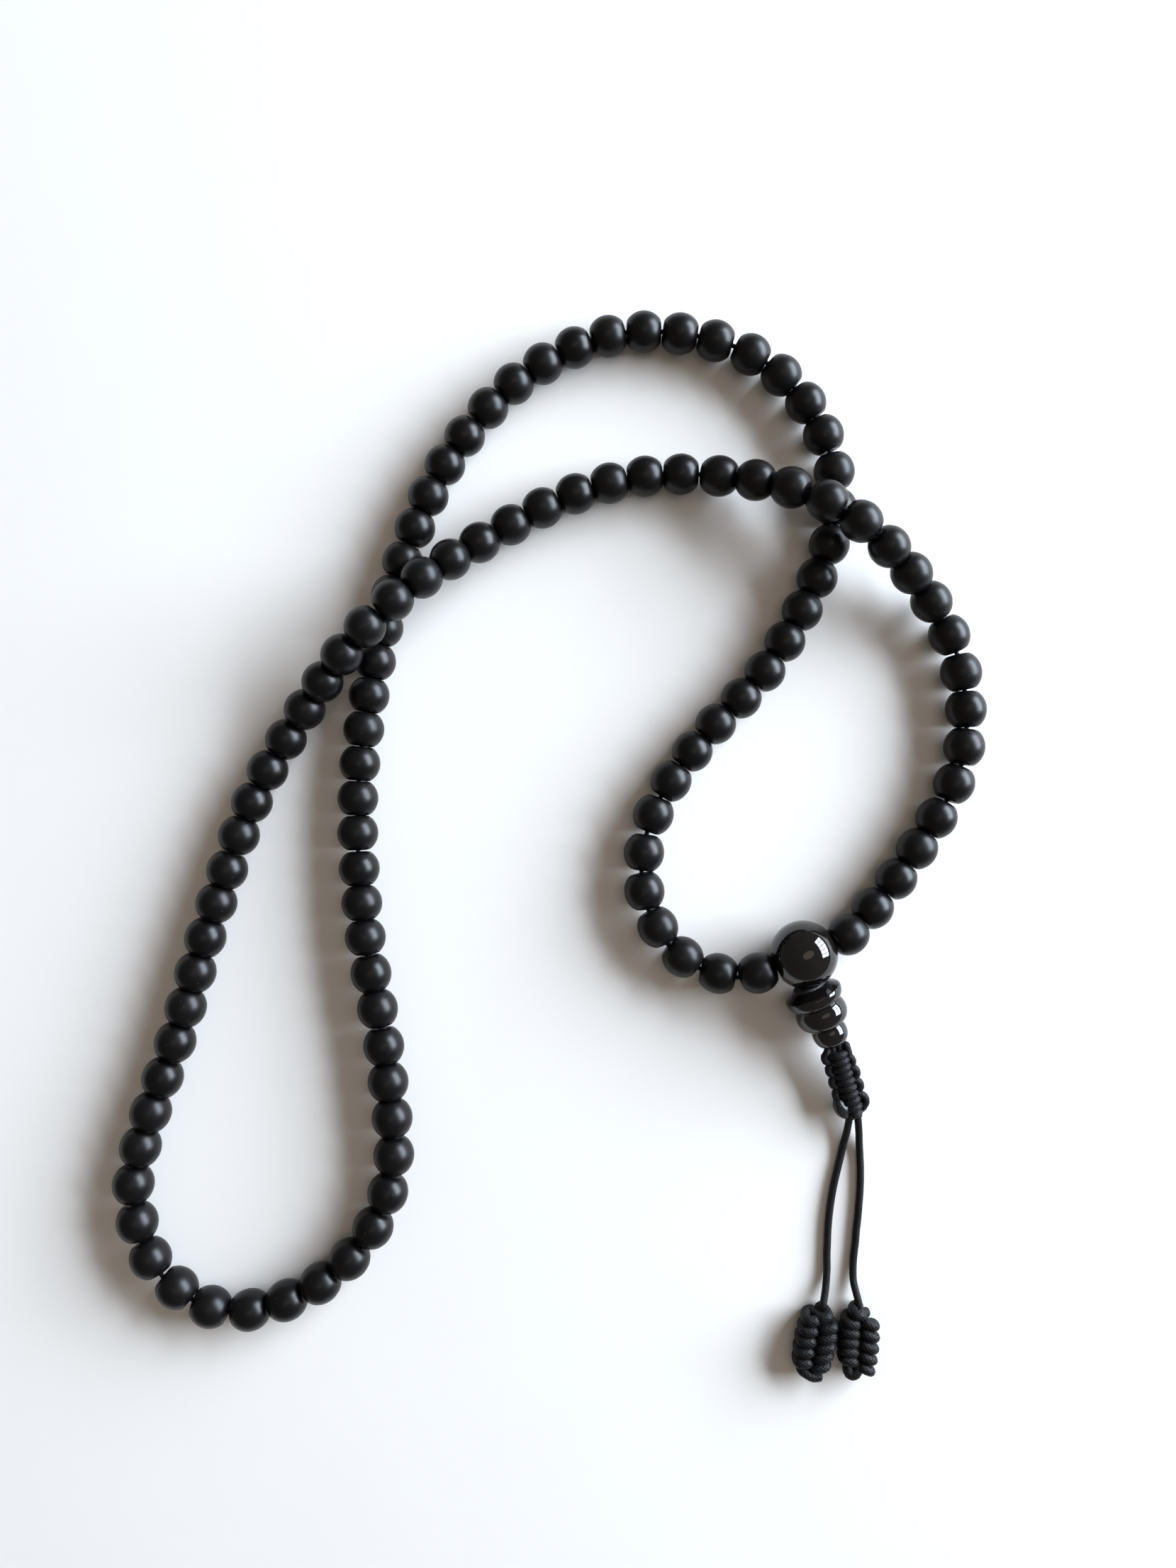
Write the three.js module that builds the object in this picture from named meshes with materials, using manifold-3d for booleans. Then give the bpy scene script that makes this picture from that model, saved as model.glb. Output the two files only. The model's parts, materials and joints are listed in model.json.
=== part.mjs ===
// A mala: 108 prayer beads on one cord, closed by a guru bead with its tower, knot and two tails.
// It lies on a flat surface in three lobes, and its strand crosses over itself twice.
// Millimetres. +X right, +Y away from the pendant, +Z up, the surface at z = 0.

import * as THREE from 'three';
import { mergeVertices } from 'three/addons/utils/BufferGeometryUtils.js';
import Module from 'manifold-3d';

const wasm = await Module();
wasm.setup();

// Beads: balls with both ends ground flat around the hole.
const beadCount = 108;
const beadRadius = 4;
const beadHalfLength = 3.35;
const beadFaceRadius = 1.9;
const beadBandHalfLength = 1.1;
const beadBoreRadius = 0.9;
const beadSides = 8;

// Guru: a ball with a flat at each of its three holes, two on the strand and one for the pendant.
const guruRadius = 6.6;
const guruFlat = 5.9;
const guruSideBoreRadius = 1.2;
const guruPendantBoreRadius = 1.8;
const roundSides = 16;

// Cords.
const cordRadius = 0.45;
const cordSides = 6;
const cordSpacing = 0.5;
// Each cord's way out of the guru's pendant bore to its side: depth below the middle, and distance aside.
const turnInGuru = [[2.2, cordSpacing], [0.6, 0.75], [0, 1.8], [0, guruFlat]];
const tailRadius = 0.75;
const tailSides = 8;

// Where separate pieces meet, and how much play a bead needs beside a gap that folds.
const clearance = 0.3;
const guruPlay = 0.6;
const foldPlay = 0.35;

// The strand's plan, from the guru bead and back to it.
const route = [
  [49.5, -26], [58.5, -22], [72, -6], [81.5, 13.5], [79, 36], [65, 53], [46, 64.5], [25, 68.5],
  [4.5, 64.5], [-20, 50.5], [-40.5, 31.5], [-56.5, 9], [-66.5, -17.5], [-74, -43], [-79.5, -59],
  [-82.5, -73.5], [-78, -88], [-65.5, -96.5], [-50.5, -94], [-38, -84.5], [-31.5, -70.5],
  [-32.5, -48.5], [-37, -20], [-38, 7.5], [-34, 34.5], [-28.5, 53.5], [-20.5, 71], [-6.5, 87],
  [12.5, 96], [32, 95], [45, 88.5], [53.5, 77], [56.5, 63], [53, 49], [43, 30.5], [28.5, 14.5],
  [20, 0.5], [18.5, -14], [25, -26], [36, -30.5],
];
const samplesPerStretch = 100;

// The strand climbs over itself at these places, counted in route points, and up to the guru's holes.
const crossings = [5.45, 9.6];
const crossingRise = 8.6;
const crossingReach = 33;
const guruReach = 14;

// The gaps where the strand folds, named by the bead before each, and where the play collects.
const foldGaps = [5, 9, 36, 42, 48, 54, 60, 65, 74, 78, 86, 90, 98, 102];
const playShares = [[1, 18, 2.2], [19, 37, 1], [38, 62, 2.2], [63, 83, 0.2], [84, 99, 1], [100, 108, 2.2]];
const playLimits = [-0.5, 2];
const playHalvings = 40;

// Beads 1 to 19 and 90 to 108 are single pieces, and the rest are joined in runs.
const lastSingle = 19;
const firstSingleAgain = 90;
const runs = [
  [20, 25], [26, 30], [31, 36], [37, 42], [43, 48], [49, 54], [55, 60],
  [61, 65], [66, 70], [71, 74], [75, 78], [79, 82], [83, 86], [87, 89],
];

// Pendant: the tower stands beside the guru's bore, and the knot hangs from the tower.
const pendantTurn = THREE.MathUtils.degToRad(24);
const pendantDip = THREE.MathUtils.degToRad(6);
const knotTurn = THREE.MathUtils.degToRad(17);
const knotDip = THREE.MathUtils.degToRad(8);
const towerShift = -1.4;
const towerLength = 12.6;
const towerBoreRadius = 1.8;
const towerOutline = [
  [3, 0], [4.3, 0.5], [5.5, 1.4], [5.7, 2.3], [5.1, 3.5], [4.5, 4], [5.1, 5], [5.15, 6.4],
  [4.4, 7.8], [3.1, 8.6], [3.45, 9.7], [3.4, 11], [2.6, 12.2],
];
const knotLength = 16.2;
const knotThickness = 0.66;
const knotSocket = { radius: 1.5, depth: 3 };
const knotOutline = [
  [2.2, 0], [3.2, 0.9], [3.55, 2.2], [3.2, 3.7], [3.6, 5.2], [3.25, 6.7], [3.6, 8.2], [3.25, 9.7],
  [3.6, 11.2], [3.25, 12.6], [3.5, 14], [2.9, 15.4],
];

// The two tails, from the knot down to the surface and along it, then up into their end knots.
const tailRoutes = {
  left: [
    [59.3, -59.6, 2.3], [59, -62, 1.7], [58.5, -64.5, 1.1], [58, -67, 0.8], [57.4, -69.5, 0.8],
    [56.8, -72, 0.8], [56.3, -74.5, 0.8], [55.9, -77, 0.8], [55.6, -79.5, 0.8], [55.4, -82, 0.8],
    [55.3, -84.5, 0.8], [55.2, -87, 0.8], [55.2, -89.5, 0.9], [55, -92, 1.2], [54.6, -94.4, 1.8],
    [54, -96.6, 2.4],
  ],
  right: [
    [61.1, -59.6, 2.3], [61.4, -62, 1.7], [61.6, -64.5, 1.1], [61.8, -67, 0.8], [61.9, -69.5, 0.8],
    [61.9, -72, 0.8], [61.8, -74.5, 0.8], [61.6, -77, 0.8], [61.4, -79.5, 0.8], [61.1, -82, 0.8],
    [60.9, -84.5, 0.8], [60.6, -87, 0.8], [60.4, -89.5, 0.9], [60.4, -92, 1.2], [60.8, -94.1, 1.8],
    [61.2, -96.2, 2.4],
  ],
};
const endKnots = {
  left: { top: [53.6, -97, 2.8], turn: THREE.MathUtils.degToRad(-10.5) },
  right: { top: [61.4, -96.6, 2.8], turn: THREE.MathUtils.degToRad(-3.5) },
};
const endKnotThickness = 0.66;
const endKnotOutline = [
  [0, 0], [1.6, 0], [3, 1.1], [3.9, 3.2], [4.2, 6], [4.15, 8.6], [3.5, 11], [1.8, 12.3], [1.6, 14], [0, 14.3],
];

const mattStone = new THREE.MeshStandardMaterial({ color: 0x17181b, roughness: 0.55, metalness: 0 });
const polishedStone = new THREE.MeshStandardMaterial({ color: 0x0c0c0e, roughness: 0.12, metalness: 0 });
const braid = new THREE.MeshStandardMaterial({ color: 0x121214, roughness: 0.9, metalness: 0 });

const vector = (x, y, z) => new THREE.Vector3(x, y, z);
const along = (start, direction, distance) => start.clone().addScaledVector(direction, distance);

// A unit direction turned in plan from -Y towards +X, and dipped below the level.
function heading(turn, dip) {
  return vector(Math.sin(turn) * Math.cos(dip), -Math.cos(turn) * Math.cos(dip), -Math.sin(dip));
}

// A frame whose Y runs along a piece's axis and whose Z is as near to up as it can be.
function frameAt(origin, axis) {
  const up = vector(0, 0, 1).addScaledVector(axis, -axis.z).normalize();
  return new THREE.Matrix4().makeBasis(axis.clone().cross(up), axis, up).setPosition(origin);
}

function placed(name, geometry, material, frame) {
  const mesh = new THREE.Mesh(geometry, material);
  mesh.name = name;
  frame.decompose(mesh.position, mesh.quaternion, mesh.scale);
  return mesh;
}

// Turns an outline about Y, with flats of this many sides set so that one faces each way along Z.
function turned(outline, sides) {
  const points = outline.map(([radius, y]) => new THREE.Vector2(radius, y));
  return new THREE.LatheGeometry(points, sides, Math.PI / sides);
}

// 1 at the middle, falling smoothly to 0 at a distance of 1.
function hump(distance) {
  return Math.abs(distance) < 1 ? Math.cos((Math.PI * distance) / 2) ** 2 : 0;
}

// The strand's centre line as many points, each with its distance from the guru bead's middle.
function makeStrand() {
  const plan = new THREE.CatmullRomCurve3(route.map(([x, y]) => vector(x, y, 0)), true, 'centripetal');
  const count = route.length * samplesPerStretch;
  const points = Array.from({ length: count + 1 }, (_, i) => plan.getPoint(i / count));
  const inPlan = distances(points);
  const length = inPlan[count];
  const over = crossings.map((place) => {
    const i = Math.floor(place * samplesPerStretch);
    return inPlan[i] + (inPlan[i + 1] - inPlan[i]) * (place * samplesPerStretch - i);
  });
  points.forEach((point, i) => {
    const fromGuru = Math.min(inPlan[i], length - inPlan[i]);
    point.z = beadRadius;
    point.z += (guruRadius - beadRadius) * hump(Math.max(fromGuru - guruFlat, 0) / guruReach);
    for (const middle of over) {
      point.z += crossingRise * hump((inPlan[i] - middle) / crossingReach);
    }
  });
  return { points, distance: distances(points) };
}

function distances(points) {
  const sums = [0];
  for (let i = 1; i < points.length; i += 1) {
    sums.push(sums[i - 1] + points[i].distanceTo(points[i - 1]));
  }
  return sums;
}

function pointOn({ points, distance }, at) {
  let low = 0;
  let high = points.length - 1;
  while (high - low > 1) {
    const middle = (low + high) >> 1;
    if (distance[middle] <= at) low = middle;
    else high = middle;
  }
  const share = (at - distance[low]) / (distance[high] - distance[low]);
  return points[low].clone().lerp(points[high], share);
}

function directionOn(strand, at) {
  const reach = 1.5;
  return pointOn(strand, at + reach).sub(pointOn(strand, at - reach)).normalize();
}

// Threads the beads from the guru round to it again: each bead's faces touch the next one's on the
// inside of the bend, and the play left over is shared out so that the last bead meets the guru.
// The arc between two beads is longer than its chord by the bend squared over 24.
function threadBeads(strand) {
  const straightPitch = 7.1;
  const end = guruFlat + guruPlay + beadHalfLength;
  const total = strand.distance[strand.distance.length - 1];
  const places = (play) => {
    const found = [end];
    for (let bead = 1; bead < beadCount; bead += 1) {
      const here = found[bead - 1];
      const bend = directionOn(strand, here).angleTo(directionOn(strand, here + straightPitch));
      const chord = 2 * (beadHalfLength * Math.cos(bend / 2) + beadFaceRadius * Math.sin(bend / 2));
      const share = playShares.find(([first, last]) => bead >= first && bead <= last)[2];
      const spare = play * share + (foldGaps.includes(bead) ? foldPlay : 0);
      found.push(here + (chord + spare) * (1 + bend ** 2 / 24));
    }
    return found;
  };
  let [low, high] = playLimits;
  for (let i = 0; i < playHalvings; i += 1) {
    const middle = (low + high) / 2;
    if (places(middle)[beadCount - 1] + end < total) low = middle;
    else high = middle;
  }
  return places(low).map((at) => ({ centre: pointOn(strand, at), axis: directionOn(strand, at) }));
}

// One outline for a row of beads, closed through the bore. Each bead stands one spacing up from the last.
const rowSpacing = 10;
function beadRow(count) {
  const widen = 1 / Math.cos(Math.PI / beadSides);
  const outer = [
    [beadFaceRadius, -beadHalfLength],
    [beadRadius * widen, -beadBandHalfLength],
    [beadRadius * widen, beadBandHalfLength],
    [beadFaceRadius, beadHalfLength],
  ];
  const bore = [[beadBoreRadius, -beadHalfLength], [beadBoreRadius, beadHalfLength]];
  const row = (points) => Array.from({ length: count }, (_, bead) =>
    points.map(([radius, y]) => [radius, y + bead * rowSpacing])).flat();
  return turned([...row(outer), ...row(bore).reverse(), outer[0]], beadSides);
}

function singleBead(number, bead) {
  const name = `bead_${String(number).padStart(3, '0')}`;
  return placed(name, beadRow(1), mattStone, frameAt(bead.centre, bead.axis));
}

// A straight row of beads, bent so that each bead stands rigidly in its own place on the strand.
function beadRun(first, last, beads) {
  const geometry = beadRow(last - first + 1);
  const position = geometry.attributes.position;
  const frames = beads.slice(first - 1, last).map(({ centre, axis }) => frameAt(centre, axis));
  for (let i = 0; i < position.count; i += 1) {
    const point = new THREE.Vector3().fromBufferAttribute(position, i);
    const bead = Math.round(point.y / rowSpacing);
    point.y -= bead * rowSpacing;
    point.applyMatrix4(frames[bead]);
    position.setXYZ(i, point.x, point.y, point.z);
  }
  const name = `beads_${String(first).padStart(3, '0')}_${String(last).padStart(3, '0')}`;
  return placed(name, geometry, mattStone, new THREE.Matrix4());
}

function toSolid(geometry) {
  const bare = geometry.clone();
  bare.deleteAttribute('normal');
  bare.deleteAttribute('uv');
  const merged = mergeVertices(bare, 1e-4);
  return new wasm.Manifold(new wasm.Mesh({
    numProp: 3,
    vertProperties: new Float32Array(merged.attributes.position.array),
    triVerts: new Uint32Array(merged.index.array),
  }));
}

function toGeometry(solid) {
  const { vertProperties, triVerts } = solid.getMesh();
  const geometry = new THREE.BufferGeometry();
  geometry.setAttribute('position', new THREE.BufferAttribute(vertProperties, 3));
  geometry.setIndex(new THREE.BufferAttribute(triVerts, 1));
  return geometry;
}

// The guru is turned about its strand bore, which is local Y. Its third flat and bore face local X.
function guruGeometry() {
  const start = Math.acos(guruFlat / guruRadius);
  const arcSteps = 9;
  const arc = Array.from({ length: arcSteps + 1 }, (_, i) => {
    const angle = start + ((Math.PI - 2 * start) * i) / arcSteps;
    return [guruRadius * Math.sin(angle), -guruRadius * Math.cos(angle)];
  });
  const rim = [guruSideBoreRadius, -guruFlat];
  const outline = [rim, ...arc, [guruSideBoreRadius, guruFlat], rim];
  const points = outline.map(([radius, y]) => new THREE.Vector2(radius, y));
  const ball = toSolid(new THREE.LatheGeometry(points, roundSides));
  const boreRadius = guruPendantBoreRadius;
  const bore = new THREE.CylinderGeometry(boreRadius, boreRadius, guruRadius, roundSides);
  bore.rotateZ(Math.PI / 2).translate(guruRadius / 2, 0, 0);
  const beyondFlat = new THREE.BoxGeometry(guruRadius, 2 * guruRadius, 2 * guruRadius);
  beyondFlat.translate(guruFlat + guruRadius / 2, 0, 0);
  return toGeometry(ball.subtract(toSolid(bore)).subtract(toSolid(beyondFlat)));
}

function towerGeometry() {
  const bore = [[towerBoreRadius, towerLength], [towerBoreRadius, 0]];
  return turned([...towerOutline, ...bore, towerOutline[0]], roundSides);
}

function knotGeometry() {
  const socket = [[0, knotSocket.depth], [knotSocket.radius, knotSocket.depth], [knotSocket.radius, 0]];
  return turned([...socket, ...knotOutline, [0, knotLength]], roundSides).scale(1, 1, knotThickness);
}

// A path that runs straight from point to point, and is stepped through point by point.
class ThreadPath extends THREE.Curve {
  constructor(points) {
    super();
    this.points = points;
  }

  getPoint(share) {
    const place = share * (this.points.length - 1);
    const i = Math.min(Math.floor(place), this.points.length - 2);
    return this.points[i].clone().lerp(this.points[i + 1], place - i);
  }

  getPointAt(share) {
    return this.getPoint(share);
  }

  getTangentAt(share) {
    return this.getTangent(share);
  }
}

function tube(path, steps, radius, sides) {
  const section = new THREE.Shape();
  for (let i = 0; i < sides; i += 1) {
    const angle = (2 * Math.PI * i) / sides;
    section.lineTo(radius * Math.cos(angle), radius * Math.sin(angle));
  }
  return new THREE.ExtrudeGeometry(section, { steps, extrudePath: path, bevelEnabled: false });
}

// The stringing cord comes up through the tower, leaves the guru on one side, passes through every
// bead, enters the guru on the other side and goes down through the tower again.
function threadPoints(beads, guru) {
  const { centre, down, side, towerTop, knotTop, knotDown } = guru;
  const pendantStrand = (hand) => {
    const aside = side.clone().multiplyScalar(hand);
    return [
      along(along(knotTop, knotDown, knotSocket.depth - clearance), aside, cordSpacing),
      along(along(towerTop, down, towerLength), aside, cordSpacing),
      along(along(along(centre, down, guruFlat), side, towerShift / 2), aside, cordSpacing),
      ...turnInGuru.map(([depth, out]) => along(along(centre, down, depth), aside, out)),
    ];
  };
  const gaps = beads.slice(1).map((next, i) => {
    const last = along(beads[i].centre, beads[i].axis, beadHalfLength);
    const first = along(next.centre, next.axis, -beadHalfLength);
    return last.lerp(first, 0.5);
  });
  return [
    ...pendantStrand(1),
    along(beads[0].centre, beads[0].axis, -beadHalfLength),
    ...gaps,
    along(beads[beadCount - 1].centre, beads[beadCount - 1].axis, beadHalfLength),
    ...pendantStrand(-1).reverse(),
  ];
}

function buildLoop(beads) {
  const loop = new THREE.Group();
  for (let number = 1; number <= beadCount; number += 1) {
    if (number <= lastSingle || number >= firstSingleAgain) {
      loop.add(singleBead(number, beads[number - 1]));
    }
  }
  for (const [first, last] of runs) {
    loop.add(beadRun(first, last, beads));
  }
  return loop;
}

function buildPendant(guru) {
  const pendant = new THREE.Group();
  const up = guru.down.clone().cross(guru.side);
  const guruFrame = new THREE.Matrix4().makeBasis(guru.down, guru.side, up).setPosition(guru.centre);
  pendant.add(placed('guru_bead', guruGeometry(), polishedStone, guruFrame));
  pendant.add(placed('tower_bead', towerGeometry(), polishedStone, frameAt(guru.towerTop, guru.down)));
  pendant.add(placed('macrame_knot', knotGeometry(), braid, frameAt(guru.knotTop, guru.knotDown)));
  for (const [hand, points] of Object.entries(tailRoutes)) {
    const path = new THREE.CatmullRomCurve3(points.map((point) => vector(...point)));
    const tail = tube(path, points.length - 1, tailRadius, tailSides);
    pendant.add(placed(`tail_cord_${hand}`, tail, braid, new THREE.Matrix4()));
    const { top, turn } = endKnots[hand];
    const endKnot = turned(endKnotOutline, roundSides).scale(1, 1, endKnotThickness);
    pendant.add(placed(`end_knot_${hand}`, endKnot, braid, frameAt(vector(...top), heading(turn, 0))));
  }
  return pendant;
}

// Where the guru stands, and the directions of its two bores and of the pieces that hang from it.
function placeGuru() {
  const [x, y] = route[0];
  const centre = vector(x, y, guruRadius);
  const down = heading(pendantTurn, pendantDip);
  const side = vector(Math.cos(pendantTurn), Math.sin(pendantTurn), 0);
  const towerTop = along(along(centre, down, guruFlat + clearance), side, towerShift);
  const knotDown = heading(knotTurn, knotDip);
  const knotTop = along(along(towerTop, down, towerLength), knotDown, clearance);
  return { centre, down, side, towerTop, knotTop, knotDown };
}

const beads = threadBeads(makeStrand());
const guru = placeGuru();
const thread = threadPoints(beads, guru);
const threadGeometry = tube(new ThreadPath(thread), thread.length - 1, cordRadius, cordSides);

const mala = new THREE.Group();
mala.add(buildLoop(beads));
mala.add(buildPendant(guru));
mala.add(placed('stringing_cord', threadGeometry, braid, new THREE.Matrix4()));

export default mala;
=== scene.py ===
import json
import math

import bmesh
import bpy
import numpy as np
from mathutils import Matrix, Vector, noise


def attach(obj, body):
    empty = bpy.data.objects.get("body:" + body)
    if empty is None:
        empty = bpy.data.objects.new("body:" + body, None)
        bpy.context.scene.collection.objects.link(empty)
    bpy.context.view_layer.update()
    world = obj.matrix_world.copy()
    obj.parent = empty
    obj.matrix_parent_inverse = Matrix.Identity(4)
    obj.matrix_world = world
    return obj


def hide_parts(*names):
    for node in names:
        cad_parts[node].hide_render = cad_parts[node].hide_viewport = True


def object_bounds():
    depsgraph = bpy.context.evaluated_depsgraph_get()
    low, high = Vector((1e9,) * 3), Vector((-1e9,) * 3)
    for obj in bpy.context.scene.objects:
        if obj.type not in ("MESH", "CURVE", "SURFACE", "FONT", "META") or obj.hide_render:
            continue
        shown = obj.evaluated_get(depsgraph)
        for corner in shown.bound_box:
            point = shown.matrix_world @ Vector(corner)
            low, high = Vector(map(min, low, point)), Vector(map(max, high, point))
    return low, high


# A mala: 108 matt stone beads on one cord, with a polished guru bead, its tower, a macrame knot
# and two braided tails that end in knots. Metres, in the frame's own axes.

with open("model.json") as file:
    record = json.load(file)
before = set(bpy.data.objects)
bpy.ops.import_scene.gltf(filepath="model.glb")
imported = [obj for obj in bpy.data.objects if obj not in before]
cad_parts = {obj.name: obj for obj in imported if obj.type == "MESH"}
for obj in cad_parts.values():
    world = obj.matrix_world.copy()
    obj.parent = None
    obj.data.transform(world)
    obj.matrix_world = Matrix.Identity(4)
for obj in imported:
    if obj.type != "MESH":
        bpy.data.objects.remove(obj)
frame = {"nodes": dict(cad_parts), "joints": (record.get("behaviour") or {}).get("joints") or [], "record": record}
cadLow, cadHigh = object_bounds()
bodies = frame["record"]["behaviour"]["bodies"]
joints = {joint["name"]: joint for joint in frame["joints"]}
weldDistance = 0.000002
nearlyZero = 1e-7


def addNode(tree, kind, inputs=None, **settings):
    node = tree.nodes.new(kind)
    for name, value in settings.items():
        setattr(node, name, value)
    for key, value in (inputs or {}).items():
        feed(tree, node.inputs[key], value)
    return node


def feed(tree, socket, value):
    if isinstance(value, bpy.types.NodeSocket):
        tree.links.new(value, socket)
    else:
        socket.default_value = value


def calc(tree, operation, *values):
    node = tree.nodes.new("ShaderNodeMath")
    node.operation = operation
    for socket, value in zip(node.inputs, values):
        feed(tree, socket, value)
    return node.outputs[0]


def newTree(name, kind, inputs, outputs):  # an input gives its default, or the kind of its socket
    tree = bpy.data.node_groups.new(name, kind)
    numberKinds = {float: "Float", int: "Int"}
    for label, value in inputs.items():
        socketType = "NodeSocket" + numberKinds.get(type(value), value)
        socket = tree.interface.new_socket(label, in_out="INPUT", socket_type=socketType)
        if type(value) in numberKinds:
            socket.default_value = value
    for label, socketKind in outputs.items():
        tree.interface.new_socket(label, in_out="OUTPUT", socket_type="NodeSocket" + socketKind)
    return tree, tree.nodes.new("NodeGroupInput"), tree.nodes.new("NodeGroupOutput")


def addModifier(piece, tree, values):
    modifier = piece.modifiers.new(tree.name, "NODES")
    modifier.node_group = tree
    for item in tree.interface.items_tree:
        if item.item_type == "SOCKET" and item.in_out == "INPUT" and item.name in values:
            modifier[item.identifier] = values[item.name]


def settle(piece):  # turns a piece and its modifiers into one plain mesh
    bpy.context.view_layer.update()
    graph = bpy.context.evaluated_depsgraph_get()
    mesh = bpy.data.meshes.new_from_object(piece.evaluated_get(graph))
    mesh.name = piece.name
    piece.modifiers.clear()
    piece.data = mesh
    return piece


def newPiece(name, mesh, material=None):
    piece = bpy.data.objects.new(name, mesh)
    bpy.context.scene.collection.objects.link(piece)
    if material:
        mesh.materials.append(material)
    return piece


def meshFrom(name, points, edges=(), faces=()):
    mesh = bpy.data.meshes.new(name)
    mesh.from_pydata([tuple(point) for point in points], list(edges), list(faces))
    return mesh


def faceOutwards(mesh, sharpAngle=None):
    shape = bmesh.new()
    shape.from_mesh(mesh)
    bmesh.ops.remove_doubles(shape, verts=shape.verts, dist=weldDistance)
    bmesh.ops.recalc_face_normals(shape, faces=shape.faces)
    shape.to_mesh(mesh)
    shape.free()
    mesh.shade_smooth()
    if sharpAngle:
        mesh.set_sharp_from_angle(angle=math.radians(sharpAngle))


def unit(vector):
    return Vector(vector).normalized()


def upFrom(axis):  # as near to up as a direction square to the axis can be
    return (Vector((0, 0, 1)) - axis * axis.z).normalized()


def inFrame(place, point):  # place is (origin, right, axis, up), and point (across, along, height)
    origin, right, axis, up = place
    return origin + right * point[0] + axis * point[1] + up * point[2]


def turned(outline, sides, place):  # turns (radius, along) points about the place's axis
    rings = []
    points = []
    for radius, along in outline:
        count = sides if radius > nearlyZero else 1  # a point on the axis is one point
        rings.append([len(points) + i for i in range(count)])
        for i in range(count):
            angle = 2 * math.pi * i / sides
            points.append(inFrame(place, (radius * math.cos(angle), along, radius * math.sin(angle))))
    faces = []
    for low, high in zip(rings, rings[1:]):
        for i in range(sides):
            a, b = low[i % len(low)], low[(i + 1) % len(low)]
            c, d = high[(i + 1) % len(high)], high[i % len(high)]
            faces.append([v for k, v in enumerate((a, b, c, d)) if v not in (a, b, c, d)[:k]])
    return points, faces


def smoothLine(points, perStretch=8):  # a Catmull-Rom line through the points
    p = [Vector(point) for point in points]
    p = [p[0] * 2 - p[1]] + p + [p[-1] * 2 - p[-2]]
    line = []
    for i in range(1, len(p) - 2):
        for step in range(perStretch):
            t = step / perStretch
            line.append(0.5 * (2 * p[i] + (p[i + 1] - p[i - 1]) * t
                               + (2 * p[i - 1] - 5 * p[i] + 4 * p[i + 1] - p[i + 2]) * t ** 2
                               + (3 * p[i] - 3 * p[i + 1] + p[i + 2] - p[i - 1]) * t ** 3))
    return line + [p[-2]]


def corners(node):  # a CAD node's points, as rows
    mesh = frame["nodes"][node].data
    rows = np.empty(len(mesh.vertices) * 3)
    mesh.vertices.foreach_get("co", rows)
    return rows.reshape(-1, 3)


def placeOf(node, axis=None):  # the middle of a turned piece's near end, and its directions
    rows = corners(node)
    middle = Vector((rows.max(0) + rows.min(0)) / 2)
    if axis is None:
        longest = Vector(np.linalg.svd(rows - rows.mean(0))[2][0])
        axis = longest if longest.y < 0 else -longest
    up = upFrom(axis)
    right = up.cross(axis)
    reach = (rows - np.array(middle)) @ np.array([right, axis, up]).T
    offset = (reach.max(0) + reach.min(0)) / 2
    origin = middle + right * offset[0] + axis * reach[:, 1].min() + up * offset[2]
    return (origin, right, axis, up), reach[:, 1].max() - reach[:, 1].min()


viewpoint = {
    "aside": (0.0076, 0.0125),  # from the middle of the object's box
    "height": 0.2364,
    "lens": 27.0,  # millimetres, on a frame of the next size
    "frameHeight": 36.0,
}


def makeCamera():
    camera = bpy.data.objects.new("camera", bpy.data.cameras.new("camera"))
    camera.data.sensor_fit = "VERTICAL"
    camera.data.sensor_height = viewpoint["frameHeight"]
    camera.data.lens = viewpoint["lens"]
    camera.data.clip_start = 0.01
    middle = (Vector(cadLow) + Vector(cadHigh)) / 2
    aside = viewpoint["aside"]
    camera.location = (middle.x + aside[0], middle.y + aside[1], viewpoint["height"])
    bpy.context.scene.collection.objects.link(camera)
    bpy.context.scene.camera = camera


makeCamera()
print("camera placed")


def makeStoneGrain():
    tree, given, out = newTree(
        "stoneGrain", "ShaderNodeTree",
        {"Vector": "Vector", "Scale": 300.0, "Contrast": 0.5, "Fineness": 9.0},
        {"Mottle": "Float", "Relief": "Float"})
    fine = calc(tree, "MULTIPLY", given.outputs["Scale"], given.outputs["Fineness"])
    cloud = addNode(tree, "ShaderNodeTexNoise", {
        "Vector": given.outputs["Vector"], "Scale": given.outputs["Scale"], "Detail": 4.0})
    grain = addNode(tree, "ShaderNodeTexNoise", {
        "Vector": given.outputs["Vector"], "Scale": fine, "Detail": 2.0})
    centred = calc(tree, "SUBTRACT", cloud.outputs[0], 0.5)
    mottle = calc(tree, "MULTIPLY_ADD", centred, given.outputs["Contrast"], 0.5)
    feed(tree, out.inputs["Mottle"], mottle)
    feed(tree, out.inputs["Relief"], grain.outputs[0])
    return tree


def makeDustSpecks():
    tree, given, out = newTree(
        "dustSpecks", "ShaderNodeTree",
        {"Vector": "Vector", "Scale": 900.0, "Size": 0.12, "Share": 0.2}, {"Mask": "Float"})
    cells = addNode(tree, "ShaderNodeTexVoronoi", {
        "Vector": given.outputs["Vector"], "Scale": given.outputs["Scale"]})
    pick = addNode(tree, "ShaderNodeSeparateColor", {"Color": cells.outputs["Color"]})
    chosen = calc(tree, "LESS_THAN", pick.outputs[0], given.outputs["Share"])
    size = calc(tree, "MULTIPLY", given.outputs["Size"], calc(tree, "ADD", pick.outputs[1], 0.3))
    fade = addNode(tree, "ShaderNodeMapRange", {  # full in the middle of a speck, none at its edge
        "Value": cells.outputs["Distance"], "From Min": size,
        "From Max": calc(tree, "MULTIPLY", size, 0.4), "To Min": 0.0, "To Max": 1.0})
    feed(tree, out.inputs["Mask"], calc(tree, "MULTIPLY", chosen, fade.outputs[0]))
    return tree


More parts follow.
